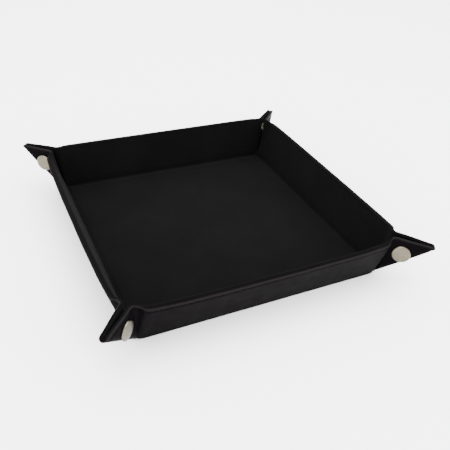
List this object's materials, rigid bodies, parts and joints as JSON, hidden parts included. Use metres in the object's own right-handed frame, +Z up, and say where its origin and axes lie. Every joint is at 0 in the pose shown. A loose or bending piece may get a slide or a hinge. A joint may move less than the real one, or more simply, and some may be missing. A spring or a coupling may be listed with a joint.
{
  "type": "folding dice tray",
  "caption": "Square folding dice tray with a leather outside, a velvet lining and walls that are held up by press snaps at the corners.",
  "frame": {"origin": "middle of the underside of the base, on the surface that the tray stands on", "axes": "+Z up, +X to the right along the front wall, +Y from the front wall to the back wall"},
  "size_m": [0.267, 0.267, 0.0408],
  "materials": {
    "outer_leather": "fine grained, semi-matt",
    "velvet_lining": "short velvet nap",
    "greyboard": "plain pressed board",
    "snap_metal": "warm nickel plate, satin"
  },
  "bodies": {
    "base": {"base_cover": "outer_leather", "base_board": "greyboard", "base_lining": "velvet_lining"},
    "front_wall": {"front_wall_cover": "outer_leather", "front_wall_board": "greyboard", "front_wall_lining": "velvet_lining"},
    "right_wall": {"right_wall_cover": "outer_leather", "right_wall_board": "greyboard", "right_wall_lining": "velvet_lining"},
    "back_wall": {"back_wall_cover": "outer_leather", "back_wall_board": "greyboard", "back_wall_lining": "velvet_lining"},
    "left_wall": {"left_wall_cover": "outer_leather", "left_wall_board": "greyboard", "left_wall_lining": "velvet_lining"},
    "front_wall_right_flap": {"front_wall_right_flap_cover": "outer_leather", "front_wall_right_flap_lining": "velvet_lining", "front_right_snap_cap": "snap_metal", "front_right_snap_socket": "snap_metal"},
    "front_wall_left_flap": {"front_wall_left_flap_cover": "outer_leather", "front_wall_left_flap_lining": "velvet_lining", "front_left_snap_cap": "snap_metal", "front_left_snap_socket": "snap_metal"},
    "right_wall_back_flap": {"right_wall_back_flap_cover": "outer_leather", "right_wall_back_flap_lining": "velvet_lining", "back_right_snap_cap": "snap_metal", "back_right_snap_socket": "snap_metal"},
    "right_wall_front_flap": {"right_wall_front_flap_cover": "outer_leather", "right_wall_front_flap_lining": "velvet_lining", "front_right_snap_stud": "snap_metal", "front_right_snap_post": "snap_metal"},
    "back_wall_left_flap": {"back_wall_left_flap_cover": "outer_leather", "back_wall_left_flap_lining": "velvet_lining", "back_left_snap_stud": "snap_metal", "back_left_snap_post": "snap_metal"},
    "back_wall_right_flap": {"back_wall_right_flap_cover": "outer_leather", "back_wall_right_flap_lining": "velvet_lining", "back_right_snap_stud": "snap_metal", "back_right_snap_post": "snap_metal"},
    "left_wall_front_flap": {"left_wall_front_flap_cover": "outer_leather", "left_wall_front_flap_lining": "velvet_lining", "front_left_snap_stud": "snap_metal", "front_left_snap_post": "snap_metal"},
    "left_wall_back_flap": {"left_wall_back_flap_cover": "outer_leather", "left_wall_back_flap_lining": "velvet_lining", "back_left_snap_cap": "snap_metal", "back_left_snap_socket": "snap_metal"}
  },
  "joints": [
    {"name": "front_wall_fold", "type": "hinge", "parent": "base", "child": "front_wall", "pos_m": [0, -0.1025, 0.0021], "axis": [1, 0, 0], "range_deg": [0, 68.5]},
    {"name": "right_wall_fold", "type": "hinge", "parent": "base", "child": "right_wall", "pos_m": [0.1025, 0, 0.0021], "axis": [0, 1, 0], "range_deg": [0, 68.5]},
    {"name": "back_wall_fold", "type": "hinge", "parent": "base", "child": "back_wall", "pos_m": [0, 0.1025, 0.0021], "axis": [-1, 0, 0], "range_deg": [0, 68.5]},
    {"name": "left_wall_fold", "type": "hinge", "parent": "base", "child": "left_wall", "pos_m": [-0.1025, 0, 0.0021], "axis": [0, -1, 0], "range_deg": [0, 68.5]},
    {"name": "front_wall_right_flap_fold", "type": "hinge", "parent": "front_wall", "child": "front_wall_right_flap", "pos_m": [0.09855, -0.10136, 0.00397], "axis": [0.358, -0.2388, 0.9026], "range_deg": [0, 47.6]},
    {"name": "front_wall_left_flap_fold", "type": "hinge", "parent": "front_wall", "child": "front_wall_left_flap", "pos_m": [-0.09855, -0.10136, 0.00397], "axis": [0.358, 0.2388, -0.9026], "range_deg": [0, 47.6]},
    {"name": "right_wall_back_flap_fold", "type": "hinge", "parent": "right_wall", "child": "right_wall_back_flap", "pos_m": [0.10136, 0.09855, 0.00397], "axis": [0.2388, 0.358, 0.9026], "range_deg": [0, 47.6]},
    {"name": "right_wall_front_flap_fold", "type": "hinge", "parent": "right_wall", "child": "right_wall_front_flap", "pos_m": [0.10136, -0.09855, 0.00397], "axis": [-0.2388, 0.358, -0.9026], "range_deg": [0, 47.6]},
    {"name": "back_wall_left_flap_fold", "type": "hinge", "parent": "back_wall", "child": "back_wall_left_flap", "pos_m": [-0.09855, 0.10136, 0.00397], "axis": [-0.358, 0.2388, 0.9026], "range_deg": [0, 47.6]},
    {"name": "back_wall_right_flap_fold", "type": "hinge", "parent": "back_wall", "child": "back_wall_right_flap", "pos_m": [0.09855, 0.10136, 0.00397], "axis": [-0.358, -0.2388, -0.9026], "range_deg": [0, 47.6]},
    {"name": "left_wall_front_flap_fold", "type": "hinge", "parent": "left_wall", "child": "left_wall_front_flap", "pos_m": [-0.10136, -0.09855, 0.00397], "axis": [-0.2388, -0.358, 0.9026], "range_deg": [0, 47.6]},
    {"name": "left_wall_back_flap_fold", "type": "hinge", "parent": "left_wall", "child": "left_wall_back_flap", "pos_m": [-0.10136, 0.09855, 0.00397], "axis": [0.2388, -0.358, -0.9026], "range_deg": [0, 47.6]}
  ],
  "couplings": [
    {"joint": "right_wall_fold", "follows": "front_wall_fold", "ratio": 1},
    {"joint": "back_wall_fold", "follows": "front_wall_fold", "ratio": 1},
    {"joint": "left_wall_fold", "follows": "front_wall_fold", "ratio": 1},
    {"joint": "front_wall_right_flap_fold", "follows": "front_wall_fold", "ratio": 0.69347},
    {"joint": "front_wall_left_flap_fold", "follows": "front_wall_fold", "ratio": 0.69347},
    {"joint": "right_wall_back_flap_fold", "follows": "front_wall_fold", "ratio": 0.69347},
    {"joint": "right_wall_front_flap_fold", "follows": "front_wall_fold", "ratio": 0.69347},
    {"joint": "back_wall_left_flap_fold", "follows": "front_wall_fold", "ratio": 0.69347},
    {"joint": "back_wall_right_flap_fold", "follows": "front_wall_fold", "ratio": 0.69347},
    {"joint": "left_wall_front_flap_fold", "follows": "front_wall_fold", "ratio": 0.69347},
    {"joint": "left_wall_back_flap_fold", "follows": "front_wall_fold", "ratio": 0.69347}
  ]
}
